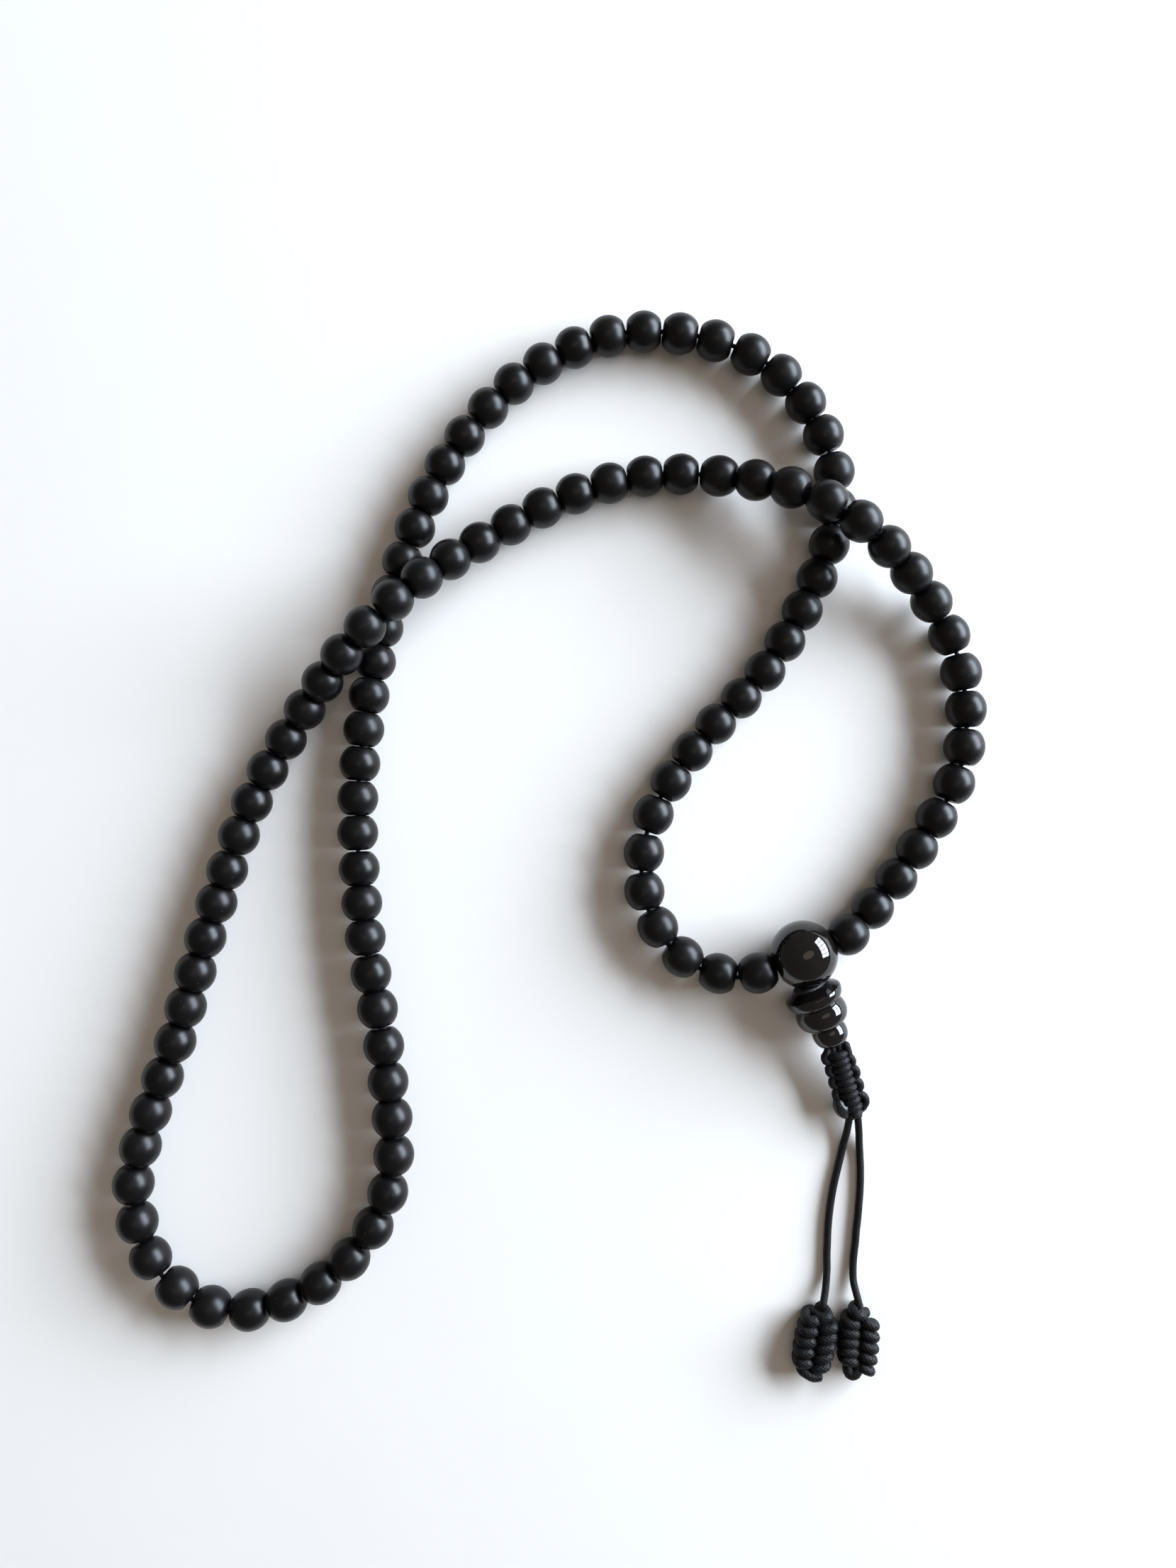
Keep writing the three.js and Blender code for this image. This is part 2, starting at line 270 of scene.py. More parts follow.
def makeBraidWeave():  # Place is a point round and along a cord: cosine, sine and distance
    tree, given, out = newTree(
        "braidWeave", "ShaderNodeTree",
        {"Place": "Vector", "Plaits": 4.0, "Pitch": 0.0006, "Filaments": 5.0},
        {"Height": "Float", "Crevice": "Float", "Filament": "Float"})
    split = addNode(tree, "ShaderNodeSeparateXYZ", {"Vector": given.outputs["Place"]})
    angle = calc(tree, "ARCTAN2", split.outputs["Y"], split.outputs["X"])
    around = calc(tree, "MULTIPLY", angle, given.outputs["Plaits"])
    turns = calc(tree, "DIVIDE", split.outputs["Z"], given.outputs["Pitch"])
    along = calc(tree, "MULTIPLY", turns, math.pi)
    right = calc(tree, "ADD", around, along)
    left = calc(tree, "SUBTRACT", around, along)
    weave = calc(tree, "MULTIPLY", calc(tree, "SINE", right), calc(tree, "SINE", left))
    over = calc(tree, "GREATER_THAN", weave, 0.0)
    depth = calc(tree, "SQRT", calc(tree, "ABSOLUTE", weave))
    strands = [calc(tree, "SINE", calc(tree, "MULTIPLY", way, given.outputs["Filaments"]))
               for way in (right, left)]
    filament = addNode(tree, "ShaderNodeMix", {"Factor": over, "A": strands[0], "B": strands[1]})
    # Crevice marks the hollows between the plaits; the braid paints shade there and makes them rougher
    crevice = addNode(tree, "ShaderNodeMapRange", {
        "Value": depth, "From Min": 0.55, "From Max": 0.1, "To Min": 0.0, "To Max": 1.0})
    feed(tree, out.inputs["Height"], depth)
    feed(tree, out.inputs["Crevice"], crevice.outputs[0])
    feed(tree, out.inputs["Filament"], calc(tree, "MULTIPLY_ADD", filament.outputs[0], 0.5, 0.5))
    return tree


stoneGrain = makeStoneGrain()
dustSpecks = makeDustSpecks()
braidWeave = makeBraidWeave()


def newMaterial(name, **plain):
    material = bpy.data.materials.new(name)
    material.use_nodes = True
    tree = material.node_tree
    surface = tree.nodes["Principled BSDF"]
    for socket, value in plain.items():
        surface.inputs[socket].default_value = value
    return material, tree, surface


def placeGroup(tree, group, inputs):
    node = tree.nodes.new("ShaderNodeGroup")
    node.node_tree = group
    for key, value in inputs.items():
        feed(tree, node.inputs[key], value)
    return node.outputs


def mixColour(tree, factor, dark, light):
    node = addNode(tree, "ShaderNodeMix", {"Factor": factor}, data_type="RGBA")
    feed(tree, node.inputs[6], dark)
    feed(tree, node.inputs[7], light)
    return node.outputs[2]


def addBump(tree, surface, height, strength, distance):
    bump = addNode(tree, "ShaderNodeBump", {
        "Height": height, "Strength": strength, "Distance": distance})
    tree.links.new(bump.outputs[0], surface.inputs["Normal"])


def grainAndDust(tree, look):  # what every stone and cord finish has
    place = addNode(tree, "ShaderNodeTexCoord").outputs["Object"]
    scale, contrast = look["grain"]
    grain = placeGroup(tree, stoneGrain, {"Vector": place, "Scale": scale, "Contrast": contrast})
    scale, size, share = look["specks"]
    specks = placeGroup(tree, dustSpecks, {"Vector": place, "Scale": scale, "Size": size, "Share": share})
    return grain, specks["Mask"]


mattStoneLook = {
    "grain": (260.0, 1.1), "specks": (1500.0, 0.16, 0.07),  # scale, then contrast or size and share
    "dark": (0.0016, 0.0015, 0.0017, 1), "light": (0.0042, 0.0040, 0.0044, 1),
    "dust": (0.085, 0.085, 0.09, 1), "dustCover": 0.8,
    "ownTone": 0.4,  # how much of the shade differs from bead to bead
    "roughLow": 0.30, "roughHigh": 0.38, "shine": 0.24, "bump": (0.25, 0.00002),
}


def makeMattStone():
    look = mattStoneLook
    material, tree, surface = newMaterial("mattStone", IOR=1.54)
    surface.inputs["Specular IOR Level"].default_value = look["shine"]
    grain, dust = grainAndDust(tree, look)
    tone = addNode(tree, "ShaderNodeAttribute", attribute_name="beadTone").outputs["Fac"]
    shade = calc(tree, "MULTIPLY_ADD", grain["Mottle"], 1 - look["ownTone"],
                 calc(tree, "MULTIPLY", tone, look["ownTone"]))
    stone = mixColour(tree, shade, look["dark"], look["light"])
    dusty = calc(tree, "MULTIPLY", dust, look["dustCover"])
    tree.links.new(mixColour(tree, dusty, stone, look["dust"]), surface.inputs["Base Color"])
    rough = addNode(tree, "ShaderNodeMapRange", {
        "Value": shade, "From Min": 0.2, "From Max": 0.8,
        "To Min": look["roughLow"], "To Max": look["roughHigh"]})
    tree.links.new(rough.outputs[0], surface.inputs["Roughness"])
    addBump(tree, surface, grain["Relief"], *look["bump"])
    return material


hardFinishes = {  # rough is the plain roughness, then what the grain and the dust add
    "polishedStone": {
        "ior": 1.56, "grain": (140.0, 1.0), "specks": (1100.0, 0.1, 0.05),
        "dark": (0.0035, 0.0032, 0.0032, 1), "light": (0.0075, 0.006, 0.0055, 1),
        "dust": (0.05, 0.05, 0.05, 1), "rough": (0.02, 0.05, 0.4), "bump": ("Mottle", 0.04, 0.0001),
    },
    "groundStone": {  # the unpolished seat between the guru and the tower
        "ior": 1.5, "grain": (900.0, 2.0), "specks": (3000.0, 0.45, 0.45),
        "dark": (0.012, 0.012, 0.013, 1), "light": (0.05, 0.05, 0.054, 1),
        "dust": (0.2, 0.2, 0.21, 1), "rough": (0.75, 0, 0), "bump": ("Relief", 0.8, 0.00008),
    },
    "meltedCord": {
        "ior": 1.5, "grain": (500.0, 1.2), "specks": (2200.0, 0.2, 0.08),
        "dark": (0.004, 0.004, 0.004, 1), "light": (0.014, 0.013, 0.013, 1),
        "dust": (0.1, 0.1, 0.1, 1), "rough": (0.25, 0.3, 0), "bump": ("Mottle", 0.5, 0.00015),
    },
}


def makeHardFinish(name):
    look = hardFinishes[name]
    material, tree, surface = newMaterial(name, IOR=look["ior"])
    grain, dust = grainAndDust(tree, look)
    stone = mixColour(tree, grain["Mottle"], look["dark"], look["light"])
    tree.links.new(mixColour(tree, dust, stone, look["dust"]), surface.inputs["Base Color"])
    rough, byGrain, byDust = look["rough"]
    if byGrain:
        rough = calc(tree, "MULTIPLY_ADD", grain["Mottle"], byGrain, rough)
    if byDust:
        rough = calc(tree, "MULTIPLY_ADD", dust, byDust, rough)
    feed(tree, surface.inputs["Roughness"], rough)
    part, strength, distance = look["bump"]
    addBump(tree, surface, grain[part], strength, distance)
    return material


braidLook = {
    "grain": (700.0, 1.2), "specks": (2200.0, 0.18, 0.06),
    "threadDark": (0.0022, 0.0022, 0.0026, 1), "threadLight": (0.0095, 0.0095, 0.0110, 1),
    # the near-black colour of the painted shade in the crevices between the plaits
    "worn": (0.014, 0.014, 0.0155, 1), "wear": 0.35, "paintedCreviceShade": (0.0008, 0.0008, 0.0009, 1),
    "dust": (0.12, 0.12, 0.12, 1), "dustCover": 0.6,
    "rough": 0.34, "grainRough": 0.2, "creviceRough": 0.3, "shine": 0.2, "sheenRoughness": 0.4,
    "filamentLift": 0.25, "bump": (0.6, 0.00006),
}


def makeBraid(name, plaits, pitch, sheen):
    look = braidLook
    material, tree, surface = newMaterial(name, IOR=1.5)
    surface.inputs["Specular IOR Level"].default_value = look["shine"]
    surface.inputs["Sheen Weight"].default_value = sheen
    surface.inputs["Sheen Roughness"].default_value = look["sheenRoughness"]
    cordPlace = addNode(tree, "ShaderNodeAttribute", attribute_name="cordPlace").outputs["Vector"]
    weave = placeGroup(tree, braidWeave, {"Place": cordPlace, "Plaits": plaits, "Pitch": pitch})
    grain, dust = grainAndDust(tree, look)
    thread = mixColour(tree, weave["Filament"], look["threadDark"], look["threadLight"])
    worn = mixColour(tree, calc(tree, "MULTIPLY", grain["Mottle"], look["wear"]), thread, look["worn"])
    # painted shade: the thread colour is darkened towards the crevices between the plaits
    paintedCreviceShade = mixColour(tree, weave["Crevice"], worn, look["paintedCreviceShade"])
    dusty = calc(tree, "MULTIPLY", dust, look["dustCover"])
    tree.links.new(mixColour(tree, dusty, paintedCreviceShade, look["dust"]), surface.inputs["Base Color"])
    rough = calc(tree, "MULTIPLY_ADD", grain["Mottle"], look["grainRough"], look["rough"])
    rough = calc(tree, "MULTIPLY_ADD", weave["Crevice"], look["creviceRough"], rough)
    tree.links.new(rough, surface.inputs["Roughness"])
    ridge = calc(tree, "MULTIPLY_ADD", weave["Filament"], look["filamentLift"], weave["Height"])
    addBump(tree, surface, ridge, *look["bump"])
    return material


floorLook = {
    "dark": (0.84, 0.81, 0.77, 1), "light": (0.89, 0.87, 0.84, 1), "rough": 0.62, "bump": (0.05, 0.0002),
}


def makeFloorCloth():
    material, tree, surface = newMaterial("paleFloor", Roughness=floorLook["rough"])
    place = addNode(tree, "ShaderNodeTexCoord").outputs["Object"]
    grain = placeGroup(tree, stoneGrain, {"Vector": place, "Scale": 30.0, "Contrast": 0.6})
    pale = mixColour(tree, grain["Mottle"], floorLook["dark"], floorLook["light"])
    tree.links.new(pale, surface.inputs["Base Color"])
    addBump(tree, surface, grain["Relief"], *floorLook["bump"])
    return material


cordMake = {"Sides": 32, "Step": 0.00012, "Relief": 0.00009, "Plaits": 4.0, "Pitch": 0.00072}
threadMake = {"Sides": 12, "Step": 0.00022, "Relief": 0.00003, "Plaits": 3.0, "Pitch": 0.0005}


mattStone = makeMattStone()
polishedStone = makeHardFinish("polishedStone")
groundStone = makeHardFinish("groundStone")
meltedCord = makeHardFinish("meltedCord")
tailBraid = makeBraid("tailBraid", cordMake["Plaits"], cordMake["Pitch"], 0.03)
threadBraid = makeBraid("threadBraid", threadMake["Plaits"], threadMake["Pitch"], 0.02)
paleFloor = makeFloorCloth()
print("materials made:", len(bpy.data.materials))


cutEndAngle = 75  # degrees; a steeper edge, such as a cord's cut end, stays sharp


def makeCordTree():
    tree, given, out = newTree(
        "braidedCord", "GeometryNodeTree",
        {"Geometry": "Geometry", "Radius": 0.00075, "Sides": 24, "Step": 0.00014, "Relief": 0.00005,
         "Plaits": 4.0, "Pitch": 0.0006, "Material": "Material"}, {"Geometry": "Geometry"})
    line = addNode(tree, "GeometryNodeMeshToCurve", {"Mesh": given.outputs["Geometry"]})
    steps = addNode(tree, "GeometryNodeResampleCurve", {
        "Curve": line.outputs[0], "Length": given.outputs["Step"]}, mode="LENGTH")
    distance = addNode(tree, "GeometryNodeCaptureAttribute", {"Geometry": steps.outputs[0]})
    distance.capture_items.new("FLOAT", "Along")
    feed(tree, distance.inputs["Along"], addNode(tree, "GeometryNodeSplineParameter").outputs["Length"])
    circle = addNode(tree, "GeometryNodeCurvePrimitiveCircle", {
        "Resolution": given.outputs["Sides"], "Radius": given.outputs["Radius"]}, mode="RADIUS")
    turn = calc(tree, "DIVIDE", addNode(tree, "GeometryNodeInputIndex").outputs[0], given.outputs["Sides"])
    angle = calc(tree, "MULTIPLY", turn, 2 * math.pi)
    way = addNode(tree, "ShaderNodeCombineXYZ", {
        "X": calc(tree, "COSINE", angle), "Y": calc(tree, "SINE", angle)})
    ring = addNode(tree, "GeometryNodeCaptureAttribute", {"Geometry": circle.outputs[0]})
    ring.capture_items.new("VECTOR", "Way")
    feed(tree, ring.inputs["Way"], way.outputs[0])
    tube = addNode(tree, "GeometryNodeCurveToMesh", {
        "Curve": distance.outputs["Geometry"], "Profile Curve": ring.outputs["Geometry"],
        "Fill Caps": True})
    split = addNode(tree, "ShaderNodeSeparateXYZ", {"Vector": ring.outputs["Way"]})
    place = addNode(tree, "ShaderNodeCombineXYZ", {
        "X": split.outputs["X"], "Y": split.outputs["Y"], "Z": distance.outputs["Along"]})
    around = calc(tree, "MULTIPLY", calc(tree, "ARCTAN2", split.outputs["Y"], split.outputs["X"]),
                  given.outputs["Plaits"])
    along = calc(tree, "MULTIPLY", calc(tree, "DIVIDE", distance.outputs["Along"], given.outputs["Pitch"]),
                 math.pi)
    weave = calc(tree, "MULTIPLY", calc(tree, "SINE", calc(tree, "ADD", around, along)),
                 calc(tree, "SINE", calc(tree, "SUBTRACT", around, along)))
    plait = calc(tree, "SUBTRACT", calc(tree, "SQRT", calc(tree, "ABSOLUTE", weave)), 1.0)
    rise = calc(tree, "MULTIPLY", plait, given.outputs["Relief"])
    outward = addNode(tree, "ShaderNodeVectorMath", {
        0: addNode(tree, "GeometryNodeInputNormal").outputs[0], "Scale": rise}, operation="SCALE")
    plaited = addNode(tree, "GeometryNodeSetPosition", {
        "Geometry": tube.outputs[0], "Offset": outward.outputs[0]})
    marked = addNode(tree, "GeometryNodeStoreNamedAttribute", {
        "Geometry": plaited.outputs[0], "Name": "cordPlace"}, data_type="FLOAT_VECTOR")
    feed(tree, marked.inputs["Value"], place.outputs[0])
    smooth = addNode(tree, "GeometryNodeSetShadeSmooth", {"Geometry": marked.outputs[0]})
    real = addNode(tree, "GeometryNodeRealizeInstances", {"Geometry": smooth.outputs[0]})
    last = addNode(tree, "GeometryNodeSetMaterial", {
        "Geometry": real.outputs[0], "Material": given.outputs["Material"]})
    feed(tree, out.inputs["Geometry"], last.outputs[0])
    return tree


cordTree = makeCordTree()


def makeCord(name, lines, radius, material, **changes):  # one piece from one or more lines of points
    points = []
    edges = []
    for line in lines:
        edges += [(len(points) + i, len(points) + i + 1) for i in range(len(line) - 1)]
        points += line
    piece = newPiece(name, meshFrom(name, points, edges))
    values = {**cordMake, **changes, "Radius": radius, "Material": material}
    addModifier(piece, cordTree, values)
    settle(piece)
    piece.data.set_sharp_from_angle(angle=math.radians(cutEndAngle))
    return piece


tails = {
    "radius": 0.00075,
    "into": (0.001, 0.0032),  # how far each end goes on inside its knot
    "dive": 0.4,  # how steeply the lower end goes down into its knot
    "left": [
        (0.0593, -0.0596, 0.0023), (0.059, -0.062, 0.0017), (0.0585, -0.0645, 0.0011),
        (0.058, -0.067, 0.0008), (0.0574, -0.0695, 0.0008), (0.0568, -0.072, 0.0008),
        (0.0563, -0.0745, 0.0008), (0.0559, -0.077, 0.0008), (0.0556, -0.0795, 0.0008),
        (0.0554, -0.082, 0.0008), (0.0553, -0.0845, 0.0008), (0.0552, -0.087, 0.0008),
        (0.0552, -0.0895, 0.0009), (0.055, -0.092, 0.0012), (0.0546, -0.0944, 0.0018),
        (0.054, -0.0966, 0.0024),
    ],
    "right": [
        (0.0611, -0.0596, 0.0023), (0.0614, -0.062, 0.0017), (0.0616, -0.0645, 0.0011),
        (0.0618, -0.067, 0.0008), (0.0619, -0.0695, 0.0008), (0.0619, -0.072, 0.0008),
        (0.0618, -0.0745, 0.0008), (0.0616, -0.077, 0.0008), (0.0614, -0.0795, 0.0008),
        (0.0611, -0.082, 0.0008), (0.0609, -0.0845, 0.0008), (0.0606, -0.087, 0.0008),
        (0.0604, -0.0895, 0.0009), (0.0604, -0.092, 0.0012), (0.0608, -0.0941, 0.0018),
        (0.0612, -0.0962, 0.0024),
    ],
}


def makeTail(hand):
    route = [Vector(point) for point in tails[hand]]
    start = route[0] + (route[0] - route[1]).normalized() * tails["into"][0]
    knotPlace, _ = placeOf("end_knot_" + hand)
    end = route[-1] + (knotPlace[2] - Vector((0, 0, tails["dive"]))) * tails["into"][1]
    line = smoothLine([start] + route + [end])
    length = sum((b - a).length for a, b in zip(line, line[1:]))
    piece = makeCord("tail" + hand.title(), [line], tails["radius"], tailBraid)
    return piece, start, line, length


endKnots = {
    "cordRadius": 0.00102, "relief": 0.00011, "wrapPoints": 20,
    "columnOffset": 0.00192, "wrapAcross": 0.00126, "wrapHeight": 0.0016, "squareness": 0.7,
    "columns": {  # side, way round, wraps, the first and last wrap's middle below the top, lean
        "left": ((-1, -1, 5, 0.0021, 0.0106, -0.40), (1, 1, 6, 0.0010, 0.0109, -0.13)),
        "right": ((-1, -1, 6, 0.0010, 0.0102, -0.12), (1, -1, 5, 0.0027, 0.0117, 0.11)),
    },
    "drawnIn": 0.0025,  # the longer column starts at the tail and moves out over this length
    "starts": ((0, 0.0042, -0.0003), (0.0002, 0.0015, -0.0004)), "ends": (0.0006, -0.0004),  # hidden inside
    "core": (0.00231, 0.001302, 0.37),  # half its width and height, and its half length as a share
    "footRadius": {"left": 0.00105, "right": 0.00108},
    "foot": {  # across, up from the knot's foot, and up from its middle
        "left": [(-0.0019, 0.0029, -0.0004), (-0.0017, 0.0020, 0.0003), (-0.0006, 0.0015, 0.0007),
                 (0.0008, 0.0011, 0.0006), (0.0022, 0.0014, 0.0004)],
        "right": [(-0.0002, 0.0048, -0.0002), (0.0001, 0.0028, 0.0007), (-0.0004, 0.0015, 0.0010),
                  (-0.0014, 0.0013, 0.0008), (-0.0019, 0.0024, 0.0006), (-0.0016, 0.0042, -0.0002)],
    },
}


def knotWaist(share):  # how wide the knot is at a share of its length
    return 0.62 + 0.38 * math.sin(math.pi * min(0.12 + 0.84 * max(share, 0), 1)) ** 0.8


def wrapColumn(place, length, side, way, wraps, firstAt, lastAt, lean):
    line = []
    pitch = (lastAt - firstAt) / (wraps - 1)
    start = firstAt - 0.5 * pitch
    for i in range(wraps * endKnots["wrapPoints"] + 1):
        t = i / endKnots["wrapPoints"]
        along = start + pitch * t
        wide = knotWaist(along / length)
        angle = way * 2 * math.pi * t - math.pi / 2  # each column starts and ends at the back
        c, s = (math.copysign(abs(part) ** endKnots["squareness"], part)
                for part in (math.cos(angle), math.sin(angle)))
        reach = endKnots["wrapAcross"] * wide
        middle = side * endKnots["columnOffset"] * wide
        if wraps > 5:
            middle *= min(max(along, 0) / endKnots["drawnIn"], 1)
        height = endKnots["wrapHeight"] * (0.3 + 0.7 * wide) * s
        front = 0.3 + 0.7 * min(max(0.5 + s, 0), 1)  # the wraps lean less at the back
        line.append(inFrame(place, (middle + reach * c, along + lean * reach * c * front, height)))
    before = [inFrame(place, (side * x, y, z)) for x, y, z in endKnots["starts"]]
    across, height = endKnots["ends"]
    return before + line + [inFrame(place, (side * across, lastAt, height))]


def makeEndKnot(hand):
    place, length = placeOf("end_knot_" + hand)
    lines = [wrapColumn(place, length, *column) for column in endKnots["columns"][hand]]
    name = "endKnot" + hand.title()
    knot = makeCord(name, lines, endKnots["cordRadius"], tailBraid, Relief=endKnots["relief"])
    radius = endKnots["footRadius"][hand]
    points = [(x, length - y, z) for x, y, z in endKnots["foot"][hand]]
    line = smoothLine([inFrame(place, point) for point in points])
    foot = makeCord(name + "Foot", [line], radius, tailBraid)
    extras = [makeKnotCore(name + "Core", place, length), foot]
    if hand == "left":  # its cut end shows
        size = (radius * 0.45, radius * 0.95, radius * 0.95)
        extras.append(makeMeltedEnd(name + "Melted", place, points[-1], size))
    return knot, extras


meltedEnd = {"rows": 24, "sides": 32, "lump": 0.10, "lumpScale": 1.7, "from": Vector((3.1, 0.4, 1.2))}


def makeMeltedEnd(name, place, middle, size, lean=0.0):  # a cord's end, melted smooth
    angles = [math.pi * i / meltedEnd["rows"] for i in range(1, meltedEnd["rows"])]
    outline = [(0.0, -1.0)] + [(math.sin(a), -math.cos(a)) for a in angles] + [(0.0, 1.0)]
    plainPlace = (Vector((0, 0, 0)), Vector((1, 0, 0)), Vector((0, 1, 0)), Vector((0, 0, 1)))
    points, faces = turned(outline, meltedEnd["sides"], plainPlace)
    shaped = []
    for point in points:
        lump = 1 + meltedEnd["lump"] * noise.noise(point * meltedEnd["lumpScale"] + meltedEnd["from"])
        x, y, z = (middle[k] + point[k] * size[k] * lump for k in range(3))
        shaped.append(inFrame(place, (x + lean * (y - middle[1]), y, z)))
    mesh = meshFrom(name, shaped, faces=faces)
    faceOutwards(mesh)
    return newPiece(name, mesh, meltedCord)


def makeKnotCore(name, place, length):  # closes the middle of the knot
    across, high, share = endKnots["core"]
    outline = []
    for i in range(15):
        angle = math.pi * i / 14
        radius = math.sin(angle) if 0 < i < 14 else 0.0
        outline.append((radius, length * (0.5 - share * math.cos(angle))))
    origin, right, axis, up = place
    points, faces = turned(outline, 24, (origin, right * across, axis, up * high))
    mesh = meshFrom(name, points, faces=faces)
    faceOutwards(mesh)
    return newPiece(name, mesh, tailBraid)


def makeTails():
    for hand in ("left", "right"):
        tail, start, line, length = makeTail(hand)
        knot, extras = makeEndKnot(hand)
        for piece, node in ((tail, "tail_cord_" + hand), (knot, "end_knot_" + hand)):
            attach(piece, "tail_" + hand)
            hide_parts(node)
        for piece in extras:
            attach(piece, "tail_" + hand)
        print("tail", hand, "made:", round(length * 1000, 1), "mm")


makeTails()


strand = {
    "route": [
        (0.0495, -0.026), (0.0585, -0.022), (0.072, -0.006), (0.0815, 0.0135), (0.079, 0.036),
        (0.065, 0.053), (0.046, 0.0645), (0.025, 0.0685), (0.0045, 0.0645), (-0.02, 0.0505),
        (-0.0405, 0.0315), (-0.0565, 0.009), (-0.0665, -0.0175), (-0.074, -0.043), (-0.0795, -0.059),
        (-0.0825, -0.0735), (-0.078, -0.088), (-0.0655, -0.0965), (-0.0505, -0.094), (-0.038, -0.0845),
        (-0.0315, -0.0705), (-0.0325, -0.0485), (-0.037, -0.02), (-0.038, 0.0075), (-0.034, 0.0345),
        (-0.0285, 0.0535), (-0.0205, 0.071), (-0.0065, 0.087), (0.0125, 0.096), (0.032, 0.095),
        (0.045, 0.0885), (0.0535, 0.077), (0.0565, 0.063), (0.053, 0.049), (0.043, 0.0305),
        (0.0285, 0.0145), (0.02, 0.0005), (0.0185, -0.014), (0.025, -0.026), (0.036, -0.0305),
    ],
    "perStretch": 100,
    "crossings": (5.45, 9.6),  # counted in route points
    "crossingRise": 0.0086,
    "crossingReach": 0.033,
    "guruReach": 0.014,
    "guruPlay": 0.0004,
    "straightPitch": 0.0071,
    "foldGaps": (5, 9, 36, 42, 48, 54, 60, 65, 74, 78, 86, 90, 98, 102),
    "foldPlay": 0.00026, "foldClear": 0.00010,
    "playShares": ((1, 18, 2.2), (19, 37, 1), (38, 62, 2.2), (63, 83, 0.2), (84, 99, 1), (100, 108, 2.2)),
    "playFrom": (-0.0005, 0.002), "playTries": 30,  # where the even play between beads is looked for
    "glance": 0.0015,  # how far a direction looks ahead and back
    "cordRadius": 0.00045, "tuck": 0.0009,  # a length of cord goes on into the next section's bead
}
bead = {
    "count": 108, "radius": 0.004, "halfLength": 0.00335, "touchRadius": 0.0019,
    "boreRadius": 0.00058, "softness": 0.00045, "rows": 40, "sides": 32, "seed": 7,
    "longest": 0.00366, "edgeRadius": 0.0017, "clear": 0.000005, "weld": 0.000005,
}
guru = {
    "radius": 0.0066, "flat": 0.0059, "sideBore": 0.0012, "pendantBore": 0.0018, "boreDepth": 0.003,
    "rows": 60, "sides": 96, "cutReach": 0.02, "sharpAngle": 28,
}


def loopLine(points, perStretch):  # a closed centripetal Catmull-Rom line
    p = [np.array(point, float) for point in points]
    n = len(p)
    line = []
    for i in range(n):
        a, b, c, d = p[i - 1], p[i], p[(i + 1) % n], p[(i + 2) % n]
        g0, g1, g2 = (np.linalg.norm(v - u) ** 0.5 for u, v in ((a, b), (b, c), (c, d)))
        m1 = ((b - a) / g0 - (c - a) / (g0 + g1) + (c - b) / g1) * g1
        m2 = ((c - b) / g1 - (d - b) / (g1 + g2) + (d - c) / g2) * g1
        for step in range(perStretch):
            t = step / perStretch
            line.append(b + m1 * t + (-3 * b + 3 * c - 2 * m1 - m2) * t ** 2
                        + (2 * b - 2 * c + m1 + m2) * t ** 3)
    return np.array(line + [p[0]])


def hump(distance):
    return np.where(np.abs(distance) < 1, np.cos(np.pi * np.clip(distance, -1, 1) / 2) ** 2, 0)


def distances(points):
    return np.concatenate([[0], np.cumsum(np.linalg.norm(np.diff(points, axis=0), axis=1))])


def strandLine():
    plan = loopLine(strand["route"], strand["perStretch"])
    inPlan = distances(plan)
    fromGuru = np.minimum(inPlan, inPlan[-1] - inPlan)
    rise = (guru["radius"] - bead["radius"]) * hump(
        np.maximum(fromGuru - guru["flat"], 0) / strand["guruReach"])
    for place in strand["crossings"]:
        middle = np.interp(place * strand["perStretch"], np.arange(len(plan)), inPlan)
        rise = rise + strand["crossingRise"] * hump((inPlan - middle) / strand["crossingReach"])
    points = np.column_stack([plan, bead["radius"] + rise])
    return points, distances(points)


def pointAt(line, at):
    points, along = line
    return np.array([np.interp(at, along, points[:, i]) for i in range(3)])


def directionAt(line, at):
    glance = strand["glance"]
    at = min(at, line[1][-1] - glance)
    step = pointAt(line, at + glance) - pointAt(line, at - glance)
    return step / np.linalg.norm(step)


def walkBeads(line):  # beads touch on the inside of each bend, and the play is shared out
    first = guru["flat"] + strand["guruPlay"] + bead["halfLength"]

    def walk(play):
        found = [first]
        for number in range(1, bead["count"]):
            here = found[-1]
            ahead = directionAt(line, here + strand["straightPitch"])
            bend = math.acos(min(1, float(directionAt(line, here) @ ahead)))
            chord = 2 * bead["halfLength"] * math.cos(bend / 2)
            chord += 2 * bead["touchRadius"] * math.sin(bend / 2)
            share = next(s for low, high, s in strand["playShares"] if low <= number <= high)
            spare = play * share + (strand["foldPlay"] if number in strand["foldGaps"] else 0)
            found.append(here + (chord + spare) * (1 + bend ** 2 / 24))
        return found

    low, high = strand["playFrom"]
    for _ in range(strand["playTries"]):
        middle = (low + high) / 2
        if walk(middle)[-1] + first < line[1][-1]:
            low = middle
        else:
            high = middle
    return [(Vector(pointAt(line, at)), Vector(directionAt(line, at))) for at in walk(low)]


def beadLengths(places):  # half lengths: each bead nearly fills its room, as strung beads do
    rooms = [bead["longest"]]
    for number, ((centre, axis), (nextCentre, nextAxis)) in enumerate(zip(places, places[1:]), 1):
        bend = axis.angle(nextAxis) / 2
        room = (nextCentre - centre).length / 2
        if number in strand["foldGaps"]:
            room -= strand["foldClear"]
        rooms.append((room - bead["edgeRadius"] * math.sin(bend)) / math.cos(bend) - bead["clear"])
    rooms.append(bead["longest"])
    return [max(bead["halfLength"], min(before, after, bead["longest"]))
            for before, after in zip(rooms, rooms[1:])]


beadPlaces = walkBeads(strandLine())
beadHalves = beadLengths(beadPlaces)
print("strand laid out:", len(beadPlaces), "beads")


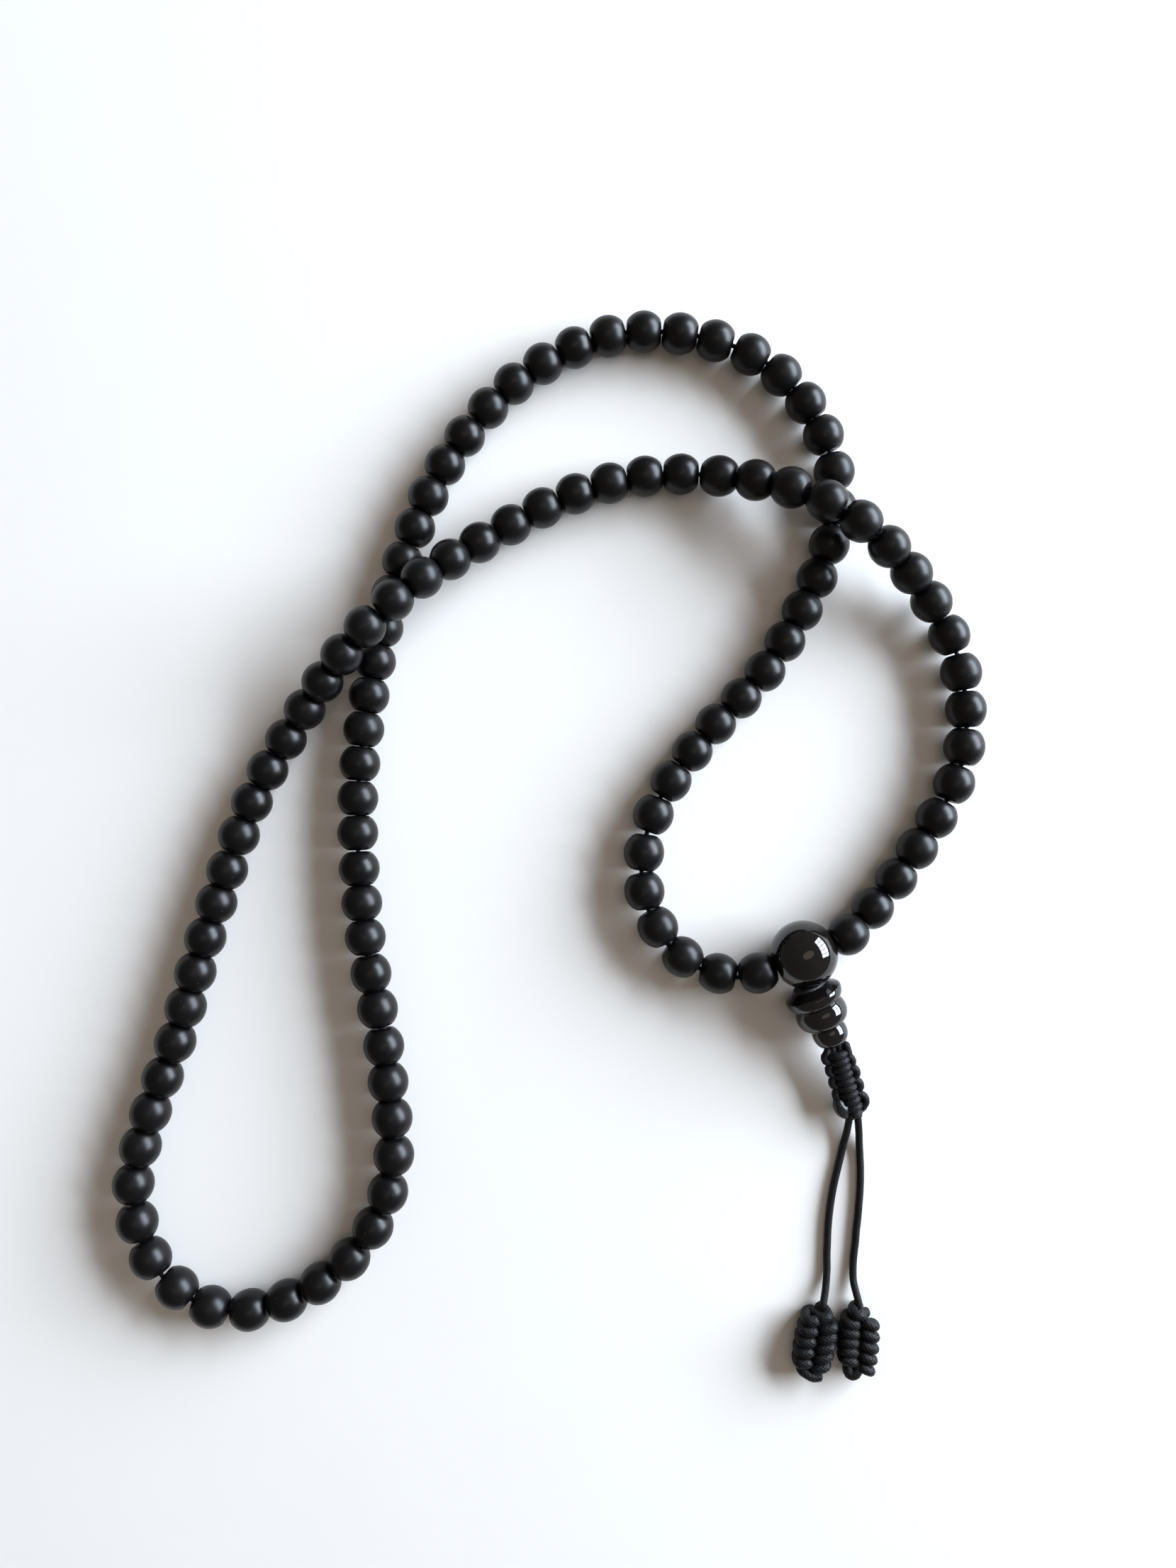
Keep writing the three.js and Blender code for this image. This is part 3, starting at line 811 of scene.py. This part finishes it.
def makeBeadTree():
    tree, given, out = newTree(
        "beadsOnCord", "GeometryNodeTree",
        {"Geometry": "Geometry", "Radius": 0.004, "Half Length": 0.00335, "Bore Radius": 0.0006,
         "Softness": 0.0006, "Rows": 32, "Sides": 32, "Seed": 7, "Weld": 0.000005,
         "Material": "Material"}, {"Geometry": "Geometry"})
    radius, half, bore = (given.outputs[n] for n in ("Radius", "Half Length", "Bore Radius"))
    grid = addNode(tree, "GeometryNodeMeshGrid", {
        "Size X": 1.0, "Size Y": 1.0, "Vertices X": calc(tree, "ADD", given.outputs["Rows"], 1.0),
        "Vertices Y": calc(tree, "ADD", given.outputs["Sides"], 1.0)})
    spot = addNode(tree, "ShaderNodeSeparateXYZ", {
        "Vector": addNode(tree, "GeometryNodeInputPosition").outputs[0]})
    section = calc(tree, "MULTIPLY", spot.outputs["X"], 2 * math.pi)
    turn = calc(tree, "MULTIPLY", spot.outputs["Y"], 2 * math.pi)
    c, s = calc(tree, "COSINE", section), calc(tree, "SINE", section)
    middle = calc(tree, "MULTIPLY", calc(tree, "ADD", radius, bore), 0.5)  # of the stone, from the axis
    aside = calc(tree, "MULTIPLY", middle, s)
    reach = calc(tree, "SQRT", calc(tree, "SUBTRACT", calc(tree, "MULTIPLY", radius, radius),
                                    calc(tree, "MULTIPLY", aside, aside)))
    toBall = calc(tree, "SUBTRACT", reach, calc(tree, "MULTIPLY", middle, c))
    toEnd = calc(tree, "DIVIDE", half, calc(tree, "MAXIMUM", calc(tree, "ABSOLUTE", s), 0.01))
    inward = calc(tree, "MAXIMUM", calc(tree, "MULTIPLY", c, -1.0), 0.01)
    toBore = calc(tree, "DIVIDE", calc(tree, "SUBTRACT", middle, bore), inward)
    outer = calc(tree, "SMOOTH_MIN", toBall, toEnd, given.outputs["Softness"])
    wall = calc(tree, "SMOOTH_MIN", outer, toBore, given.outputs["Softness"])
    across = calc(tree, "MULTIPLY_ADD", wall, c, middle)
    shaped = addNode(tree, "ShaderNodeCombineXYZ", {
        "X": calc(tree, "MULTIPLY", across, calc(tree, "COSINE", turn)),
        "Y": calc(tree, "MULTIPLY", across, calc(tree, "SINE", turn)),
        "Z": calc(tree, "MULTIPLY", wall, s)})
    sheet = addNode(tree, "GeometryNodeSetPosition", {
        "Geometry": grid.outputs[0], "Position": shaped.outputs[0]})
    closed = addNode(tree, "GeometryNodeMergeByDistance", {
        "Geometry": sheet.outputs[0], "Distance": given.outputs["Weld"]})
    smooth = addNode(tree, "GeometryNodeSetShadeSmooth", {"Geometry": closed.outputs[0]})
    axis = addNode(tree, "GeometryNodeInputNamedAttribute", {"Name": "beadAxis"}, data_type="FLOAT_VECTOR")
    number = addNode(tree, "GeometryNodeInputNamedAttribute", {"Name": "beadNumber"}, data_type="INT")
    chance = addNode(tree, "FunctionNodeRandomValue", {
        "ID": number.outputs[0], "Seed": given.outputs["Seed"]}, data_type="FLOAT")
    aimed = addNode(tree, "FunctionNodeAlignRotationToVector", {"Vector": axis.outputs[0]}, axis="Z")
    spin = addNode(tree, "FunctionNodeAxisAngleToRotation", {
        "Axis": (0.0, 0.0, 1.0), "Angle": calc(tree, "MULTIPLY", chance.outputs[1], 2 * math.pi)})
    facing = addNode(tree, "FunctionNodeRotateRotation", {
        "Rotation": aimed.outputs[0], "Rotate By": spin.outputs[0]}, rotation_space="LOCAL")
    stretch = addNode(tree, "GeometryNodeInputNamedAttribute", {"Name": "beadStretch"}, data_type="FLOAT")
    size = addNode(tree, "ShaderNodeCombineXYZ", {"X": 1.0, "Y": 1.0, "Z": stretch.outputs[0]})
    put = addNode(tree, "GeometryNodeInstanceOnPoints", {
        "Points": given.outputs["Geometry"], "Instance": smooth.outputs[0],
        "Rotation": facing.outputs[0], "Scale": size.outputs[0]})
    toned = addNode(tree, "GeometryNodeStoreNamedAttribute", {
        "Geometry": put.outputs[0], "Name": "beadTone"}, data_type="FLOAT", domain="INSTANCE")
    feed(tree, toned.inputs["Value"], chance.outputs[1])
    real = addNode(tree, "GeometryNodeRealizeInstances", {"Geometry": toned.outputs[0]})
    last = addNode(tree, "GeometryNodeSetMaterial", {
        "Geometry": real.outputs[0], "Material": given.outputs["Material"]})
    feed(tree, out.inputs["Geometry"], last.outputs[0])
    return tree


beadTree = makeBeadTree()


def beadNumbers(nodes):  # the beads that a body's nodes hold, as numbers from 1
    found = []
    for node in nodes:
        words = node.split("_")
        if words[0] in ("bead", "beads"):
            found += range(int(words[1]), int(words[-1]) + 1)
    return found


def makeBeads(body, numbers):
    mesh = meshFrom("beads", [beadPlaces[n - 1][0] for n in numbers])
    axes = mesh.attributes.new("beadAxis", "FLOAT_VECTOR", "POINT")
    axes.data.foreach_set("vector", [v for n in numbers for v in beadPlaces[n - 1][1]])
    labels = mesh.attributes.new("beadNumber", "INT", "POINT")
    labels.data.foreach_set("value", numbers)
    stretches = mesh.attributes.new("beadStretch", "FLOAT", "POINT")
    stretches.data.foreach_set("value", [beadHalves[n - 1] / bead["halfLength"] for n in numbers])
    piece = newPiece("beadsOf_" + body, mesh)
    addModifier(piece, beadTree, {
        "Radius": bead["radius"], "Half Length": bead["halfLength"], "Bore Radius": bead["boreRadius"],
        "Softness": bead["softness"], "Rows": bead["rows"], "Sides": bead["sides"],
        "Seed": bead["seed"], "Weld": bead["weld"], "Material": mattStone})
    settle(piece)
    faceOutwards(piece.data)
    return piece


def makeAllBeads():
    for body, nodes in bodies.items():
        numbers = beadNumbers(nodes)
        if numbers:
            piece = makeBeads(body, numbers)
            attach(piece, body)
            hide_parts(*[node for node in nodes if node.startswith("bead")])


makeAllBeads()
print("beads made")


sections = {  # beads from and to, with the gaps at both ends
    "strand_base": [(10, 36), (66, 74), (91, 98)],
    "guru_lobe_base": [(6, 9), (99, 102)],
    "guru_lobe_end": [(1, 5), (103, 108)],
    "left_lobe_base": [(37, 42), (61, 65)],
    "left_lobe_middle": [(43, 48), (55, 60)],
    "left_lobe_end": [(49, 54)],
    "top_lobe_base": [(75, 78), (87, 90)],
    "top_lobe_end": [(79, 86)],
}


def gapPoint(number, into):  # between a bead and the next, or further on into the one it meets
    half = bead["halfLength"]
    if number in (0, bead["count"]):
        centre, axis = beadPlaces[min(number, bead["count"] - 1)]
        return centre + axis * (-half if number == 0 else half) + axis * into
    before, after = beadPlaces[number - 1], beadPlaces[number]
    middle = (before[0] + before[1] * half + after[0] - after[1] * half) / 2
    direction = before[1] if into < 0 else after[1]
    return middle + direction * into


def makeStrandCord():
    tuck = strand["tuck"]
    for body, stretches in sections.items():
        lines = []
        for first, last in stretches:
            inner = [gapPoint(number, 0) for number in range(first, last)]
            ends = [gapPoint(first - 1, -tuck), gapPoint(first - 1, 0)]
            tail = [gapPoint(last, 0), gapPoint(last, tuck)]
            lines.append(smoothLine(ends + inner + tail, 4))
        piece = makeCord("cordOf_" + body, lines, strand["cordRadius"], threadBraid,
                         **threadMake)
        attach(piece, body)
        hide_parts("stringing_cord")


makeStrandCord()
print("stringing cord made")


def cutAway(piece, cutter):
    modifier = piece.modifiers.new("cut", "BOOLEAN")
    modifier.object = cutter
    modifier.operation = "DIFFERENCE"
    modifier.solver = "EXACT"
    settle(piece)
    bpy.data.objects.remove(cutter)


def cutTurned(piece, outline, sides, place):
    points, faces = turned(outline, sides, place)
    mesh = meshFrom("cutter", points, faces=faces)
    faceOutwards(mesh)
    cutAway(piece, newPiece("cutter", mesh))


def makeGuru():
    centre = Vector(joints["pendant_swing"]["pos_m"])
    side = -unit(joints["pendant_swing"]["axis"])
    down = unit(joints["turn_tower"]["axis"])
    down = (down - side * down.dot(side)).normalized()
    place = (centre, side, down, down.cross(side) * -1)
    radius, flat, bore = guru["radius"], guru["flat"], guru["pendantBore"]
    rim = math.asin(math.sqrt(radius ** 2 - flat ** 2) / radius)
    arc = [math.pi - (math.pi - rim) * i / guru["rows"] for i in range(1, guru["rows"] + 1)]
    outline = [(0.0, -radius)] + [(radius * math.sin(a), radius * math.cos(a)) for a in arc]
    outline += [(bore, flat), (bore, flat - guru["boreDepth"]), (0.0, flat - guru["boreDepth"])]
    points, faces = turned(outline, guru["sides"], place)
    mesh = meshFrom("guruBead", points, faces=faces)
    faceOutwards(mesh)
    piece = newPiece("guruBead", mesh, polishedStone)
    sidePlace = (centre, down, side, place[3])
    far = guru["cutReach"]
    for hand in (-1, 1):  # a flat at each side hole
        block = [(0.0, hand * flat), (far, hand * flat), (far, hand * far), (0.0, hand * far)]
        cutTurned(piece, block, 24, sidePlace)
    rod = [(0.0, -far), (guru["sideBore"], -far), (guru["sideBore"], far), (0.0, far)]
    cutTurned(piece, rod, 32, sidePlace)
    faceOutwards(piece.data, guru["sharpAngle"])
    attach(piece, "guru")
    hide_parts("guru_bead")


makeGuru()
print("guru bead made")


tower = {
    "tiers": [(0.0019, 0.0057, 0.0023, 0.0020), (0.0060, 0.00515, 0.0027, 0.0021),
              (0.0104, 0.0035, 0.0025, 0.0018)],  # middle along the axis, radius, half length, depth
    "shoulder": (0.0034, 0.00012), "coneSlope": 1.75, "coneSoftness": 0.0007,
    "endRadius": 0.0023, "endEdge": 0.0001, "boreRadius": 0.0018,
    "sides": 96, "rows": 160, "sharpAngle": 35,
    "seatTop": -0.00024, "seatSunk": 0.0002, "seatRadii": (0.0020, 0.0030, 0.00338), "seatSides": 220,
    "grain": 2600.0, "grainLift": 0.00007,
}


def softMin(a, b, softness):
    share = max(softness - abs(a - b), 0) / softness
    return min(a, b) - share ** 3 * softness / 6


def towerRadius(along):
    best = 0.0
    for middle, radius, half, depth in tower["tiers"]:
        share = (along - middle) / half
        if abs(share) < 1:
            best = max(best, radius - depth * (1 - math.sqrt(1 - share * share)))
    shoulder = tower["shoulder"]
    cone = shoulder[0] + (along - shoulder[1]) * tower["coneSlope"]
    return softMin(best, cone, tower["coneSoftness"])


def makeTower():
    place, length = placeOf("tower_bead", unit(joints["turn_tower"]["axis"]))
    start, bore, end = tower["shoulder"][1], tower["boreRadius"], tower["endRadius"]
    outline = [(bore, start), (tower["shoulder"][0], start)]
    for i in range(1, tower["rows"] + 1):
        along = start + (length - tower["endEdge"] - start) * i / tower["rows"]
        radius = towerRadius(along)
        if radius > end:
            outline.append((radius, along))
    outline += [(end, length), (bore, length), (bore, start)]
    points, faces = turned(outline, tower["sides"], place)
    mesh = meshFrom("towerBead", points, faces=faces)
    faceOutwards(mesh, tower["sharpAngle"])
    piece = newPiece("towerBead", mesh, polishedStone)
    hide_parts("tower_bead")
    seat = makeGroundSeat(place)
    for part in (piece, seat):
        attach(part, "tower")


def makeGroundSeat(place):  # the unpolished ring between the guru and the tower
    top, start = tower["seatTop"], tower["shoulder"][1]
    inner, rim, outer = tower["seatRadii"]
    low = start + tower["seatSunk"]
    outline = [(inner, low), (inner, top)]
    outline += [(inner + (rim - inner) * i / 5, top) for i in range(1, 6)]
    for i in range(1, 7):  # round over the rim
        angle = math.pi * i / 12
        outline.append((rim + (outer - rim) * math.sin(angle), start + (top - start) * math.cos(angle)))
    outline += [(outer - 0.0001, low), (inner, low)]
    points, faces = turned(outline, tower["seatSides"], place)
    for i, point in enumerate(points):
        lift = noise.noise(point * tower["grain"]) + 0.6 * noise.noise(point * tower["grain"] * 2.3)
        fromAxis = point - place[0]
        fromAxis = fromAxis - place[2] * fromAxis.dot(place[2])
        points[i] = point + fromAxis.normalized() * lift * tower["grainLift"]
    mesh = meshFrom("groundSeat", points, faces=faces)
    faceOutwards(mesh)
    return newPiece("groundSeat", mesh, groundStone)


makeTower()
print("tower made")


macrame = {
    "cordRadius": 0.00076,
    "bars": 9, "firstBar": 0.0020, "barPitch": 0.00142, "barReach": 0.00150, "barRise": 0.00150,
    "loopDip": 0.0009, "loopNeck": 0.0021, "loopHeight": 0.00055,
    "leftLoops": [(0.0008, 0.0036, 0.0027), (0.0034, 0.0062, 0.0026), (0.0060, 0.0088, 0.0026),
                  (0.0086, 0.0115, 0.0026)],  # from, to and how far out
    "rightLoops": [(0.0004, 0.0030, 0.0021), (0.0028, 0.0053, 0.0024), (0.0051, 0.0080, 0.0026),
                   (0.0078, 0.0108, 0.0026), (0.0106, 0.0146, 0.0028)],
    "coreAside": (-0.0016, -0.0006, 0.0006, 0.0016),
    "meltedEnd": (-0.0022, 0.0129, 0.0006), "meltedSize": (0.00155, 0.0024, 0.0015), "meltedLean": 0.16,
}


def barLine(y, face):  # one wrap over the front or the back
    reach, rise = macrame["barReach"], macrame["barRise"]
    lean = 0.00012 * math.sin(900 * y)
    points = []
    for i in range(13):
        angle = math.pi * (i / 12 * 1.24 - 0.12)
        points.append((-reach * math.cos(angle), y - lean * math.cos(angle), face * rise * math.sin(angle)))
    return points


def loopLineAt(hand, start, end, out):  # from under the bars, out and along the side, and back in
    neck, high, dip = macrame["loopNeck"], macrame["loopHeight"], macrame["loopDip"]
    shares = [(dip, 0.0, -0.4), (neck * 0.8, 0.04, 0.3), (neck, 0.16, 0.9), (out, 0.36, 1.0),
              (out, 0.64, 1.0), (neck, 0.86, 0.8), (neck * 0.8, 0.97, 0.2), (dip, 1.02, -0.6)]
    return [(hand * x, start + (end - start) * share, high * z) for x, share, z in shares]


def makeMacrame():
    place, length = placeOf("macrame_knot")
    lines = []
    for i in range(macrame["bars"]):
        y = macrame["firstBar"] + i * macrame["barPitch"]
        lines += [barLine(y, 1), barLine(y + 0.5 * macrame["barPitch"], -1)]
    lines.append([(x * 0.75, y + 0.0013, z) for x, y, z in barLine(y, 1)])
    lines += [loopLineAt(-1, *loop) for loop in macrame["leftLoops"]]
    lines += [loopLineAt(1, *loop) for loop in macrame["rightLoops"]]
    for aside in macrame["coreAside"]:
        top = -0.0010 if abs(aside) < 0.001 else 0.0010
        bottom = length - (0.0002 if abs(aside) < 0.001 else 0.0016)
        lines.append([(aside * 1.2, top, 0.0002), (aside * 0.9, 0.004, 0), (aside * 0.9, 0.010, 0),
                      (aside * 1.2, bottom, 0)])
    lines = [smoothLine([inFrame(place, point) for point in line], 8) for line in lines]
    knot = makeCord("macrameKnot", lines, macrame["cordRadius"], tailBraid)
    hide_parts("macrame_knot")
    melted = makeMeltedEnd("macrameMelted", place, macrame["meltedEnd"], macrame["meltedSize"],
                           macrame["meltedLean"])
    for piece in (knot, melted):
        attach(piece, "macrame")


makeMacrame()
print("macrame knot made")


studio = {
    "floorSize": 3.6, "backColour": (0.84, 0.84, 0.84, 1),
    "skyColour": (1.0, 0.90, 0.80, 1), "skyStrength": 0.19,
    "windowTurn": 24.0, "windowRise": 23.0, "windowAway": 1.9,  # degrees, and metres
    "panes": (5, 2), "paneSize": (0.34, 0.46), "paneGap": 0.045,
    "paneWatts": 13.0, "windowColour": (0.78, 0.88, 1.0),
    "lampFrom": (0.18, 0.10, 1.3), "lampSize": (0.55, 0.95), "lampWatts": 1.1,
    "lampColour": (1.0, 0.80, 0.64),
}


def makeFloor():
    half = studio["floorSize"] / 2
    ends = [(-half, -half, 0), (half, -half, 0), (half, half, 0), (-half, half, 0)]
    mesh = meshFrom("floor", ends, faces=[(0, 1, 2, 3)])
    floor = newPiece("floor", mesh, paleFloor)
    floor.location.z = cadLow.z


def addAreaLight(name, shape, place, target, size, watts, colour):
    lamp = bpy.data.lights.new(name, "AREA")
    lamp.shape = shape
    lamp.size, lamp.size_y = size
    lamp.energy = watts
    lamp.color = colour
    light = bpy.data.objects.new(name, lamp)
    light.location = place
    light.rotation_euler = (target - place).to_track_quat("-Z", "Y").to_euler()
    bpy.context.scene.collection.objects.link(light)


def makeLight():
    world = bpy.data.worlds.new("sky")
    world.use_nodes = True
    tree = world.node_tree
    sky = tree.nodes["Background"]
    sky.inputs["Color"].default_value = studio["skyColour"]
    sky.inputs["Strength"].default_value = studio["skyStrength"]
    back = addNode(tree, "ShaderNodeBackground", {"Color": studio["backColour"], "Strength": 1.0})
    seen = addNode(tree, "ShaderNodeLightPath").outputs["Is Camera Ray"]
    both = addNode(tree, "ShaderNodeMixShader", {0: seen, 1: sky.outputs[0], 2: back.outputs[0]})
    tree.links.new(both.outputs[0], tree.nodes["World Output"].inputs["Surface"])
    bpy.context.scene.world = world
    turn, rise = math.radians(studio["windowTurn"]), math.radians(studio["windowRise"])
    outwards = Vector((math.cos(turn) * math.cos(rise), math.sin(turn) * math.cos(rise), math.sin(rise)))
    across = outwards.cross(Vector((0, 0, 1))).normalized()
    up = across.cross(outwards)
    columns, rows = studio["panes"]
    width, height = studio["paneSize"]
    for column in range(columns):
        for row in range(rows):
            place = outwards * studio["windowAway"]
            place = place + across * (column - (columns - 1) / 2) * (width + studio["paneGap"])
            place = place + up * (row - (rows - 1) / 2) * (height + studio["paneGap"])
            addAreaLight("windowPane", "RECTANGLE", place, place - outwards, (width, height),
                         studio["paneWatts"], studio["windowColour"])
    addAreaLight("softLamp", "ELLIPSE", Vector(studio["lampFrom"]), Vector((0, 0, 0)),
                 studio["lampSize"], studio["lampWatts"], studio["lampColour"])
    bpy.context.scene.view_settings.view_transform = "Standard"


makeFloor()
makeLight()
print("floor and light set")
